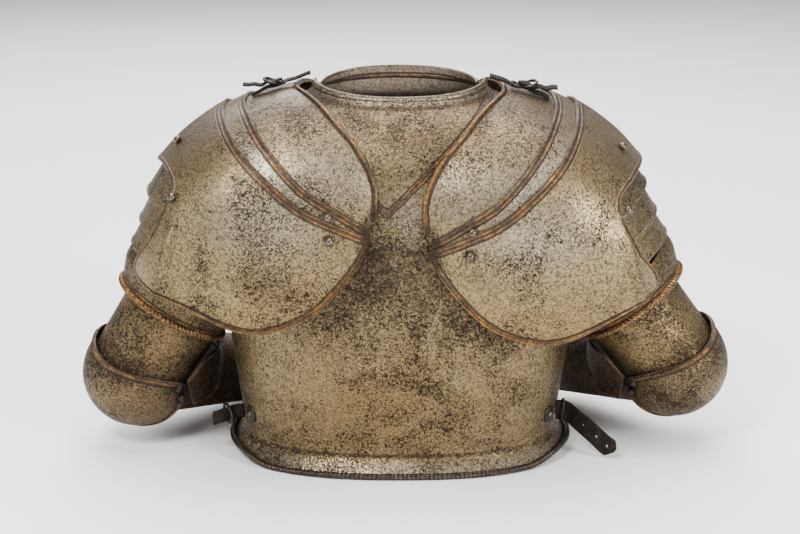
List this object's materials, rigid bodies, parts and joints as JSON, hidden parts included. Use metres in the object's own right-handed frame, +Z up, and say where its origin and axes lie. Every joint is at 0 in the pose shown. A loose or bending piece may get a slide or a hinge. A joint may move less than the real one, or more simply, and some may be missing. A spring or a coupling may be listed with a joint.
{
  "type": "cuirass with pauldrons and arm defences",
  "caption": "Steel cuirass: backplate and breastplate joined over the shoulders, winged pauldrons, and bent arms with hinged elbow caps and leather straps.",
  "frame": {"origin": "on the surface it stands on, under the middle of its bounds; the body's own middle is at x 5.0 mm, y 4.5 mm", "axes": "+Z up, -Y towards the breastplate's front, +X towards the wearer's left arm"},
  "size_m": [0.65, 0.3202, 0.3781],
  "materials": {
    "steel_plate": "aged, pitted, with brown and gilt rims",
    "dark_iron": "dark brown patina",
    "strap_leather": "worn, nearly black"
  },
  "bodies": {
    "body": {"backplate": "steel_plate", "breastplate": "steel_plate", "pauldron_neck_plate_left": "steel_plate", "pauldron_middle_lame_left": "steel_plate", "pauldron_main_plate_left": "steel_plate", "rivet_middle_left": "dark_iron", "rivet_back_left": "dark_iron", "rivet_wing_left": "dark_iron", "rivet_top_left": "dark_iron", "pauldron_strap_left": "strap_leather", "pauldron_strap_end_left": "strap_leather", "pauldron_buckle_left": "dark_iron", "arm_lame_1_left": "steel_plate", "arm_lame_2_left": "steel_plate", "arm_lame_3_left": "steel_plate", "turner_left": "steel_plate", "upper_cannon_left": "steel_plate", "rivet_arm_lame_1_left": "dark_iron", "rivet_arm_lame_2_left": "dark_iron", "rivet_arm_lame_3_left": "dark_iron", "shoulder_strap_left": "strap_leather", "pauldron_neck_plate_right": "steel_plate", "pauldron_middle_lame_right": "steel_plate", "pauldron_main_plate_right": "steel_plate", "rivet_middle_right": "dark_iron", "rivet_back_right": "dark_iron", "rivet_wing_right": "dark_iron", "rivet_top_right": "dark_iron", "pauldron_strap_right": "strap_leather", "pauldron_strap_end_right": "strap_leather", "pauldron_buckle_right": "dark_iron", "arm_lame_1_right": "steel_plate", "arm_lame_2_right": "steel_plate", "arm_lame_3_right": "steel_plate", "turner_right": "steel_plate", "upper_cannon_right": "steel_plate", "rivet_arm_lame_1_right": "dark_iron", "rivet_arm_lame_2_right": "dark_iron", "rivet_arm_lame_3_right": "dark_iron", "shoulder_strap_right": "strap_leather", "side_strap_right": "strap_leather", "side_strap_left": "strap_leather", "side_buckle_left": "dark_iron", "side_rivet_left": "dark_iron", "side_rivet_right": "dark_iron"},
    "elbow_left": {"couter_left": "steel_plate", "couter_wing_left": "dark_iron", "pivot_upper_inner_left": "dark_iron", "pivot_upper_outer_left": "dark_iron", "pivot_lower_inner_left": "dark_iron", "pivot_lower_outer_left": "dark_iron"},
    "forearm_left": {"lower_cannon_left": "dark_iron"},
    "elbow_right": {"couter_right": "steel_plate", "couter_wing_right": "dark_iron", "pivot_upper_inner_right": "dark_iron", "pivot_upper_outer_right": "dark_iron", "pivot_lower_inner_right": "dark_iron", "pivot_lower_outer_right": "dark_iron"},
    "forearm_right": {"lower_cannon_right": "dark_iron"}
  },
  "joints": [
    {"name": "elbow_cap_left", "type": "hinge", "parent": "body", "child": "elbow_left", "pos_m": [0.26579, 0.00452, 0.08225], "axis": [-0.6514, 0.6471, -0.3961], "range_deg": [-25, 4]},
    {"name": "forearm_bend_left", "type": "hinge", "parent": "elbow_left", "child": "forearm_left", "pos_m": [0.26445, -0.0045, 0.06971], "axis": [-0.6514, 0.6471, -0.3961], "range_deg": [-40, 4]},
    {"name": "elbow_cap_right", "type": "hinge", "parent": "body", "child": "elbow_right", "pos_m": [-0.26527, 0.00452, 0.09179], "axis": [-0.6199, -0.6366, 0.4587], "range_deg": [-25, 4]},
    {"name": "forearm_bend_right", "type": "hinge", "parent": "elbow_right", "child": "forearm_right", "pos_m": [-0.26484, -0.0045, 0.07986], "axis": [-0.6199, -0.6366, 0.4587], "range_deg": [-40, 4]}
  ]
}
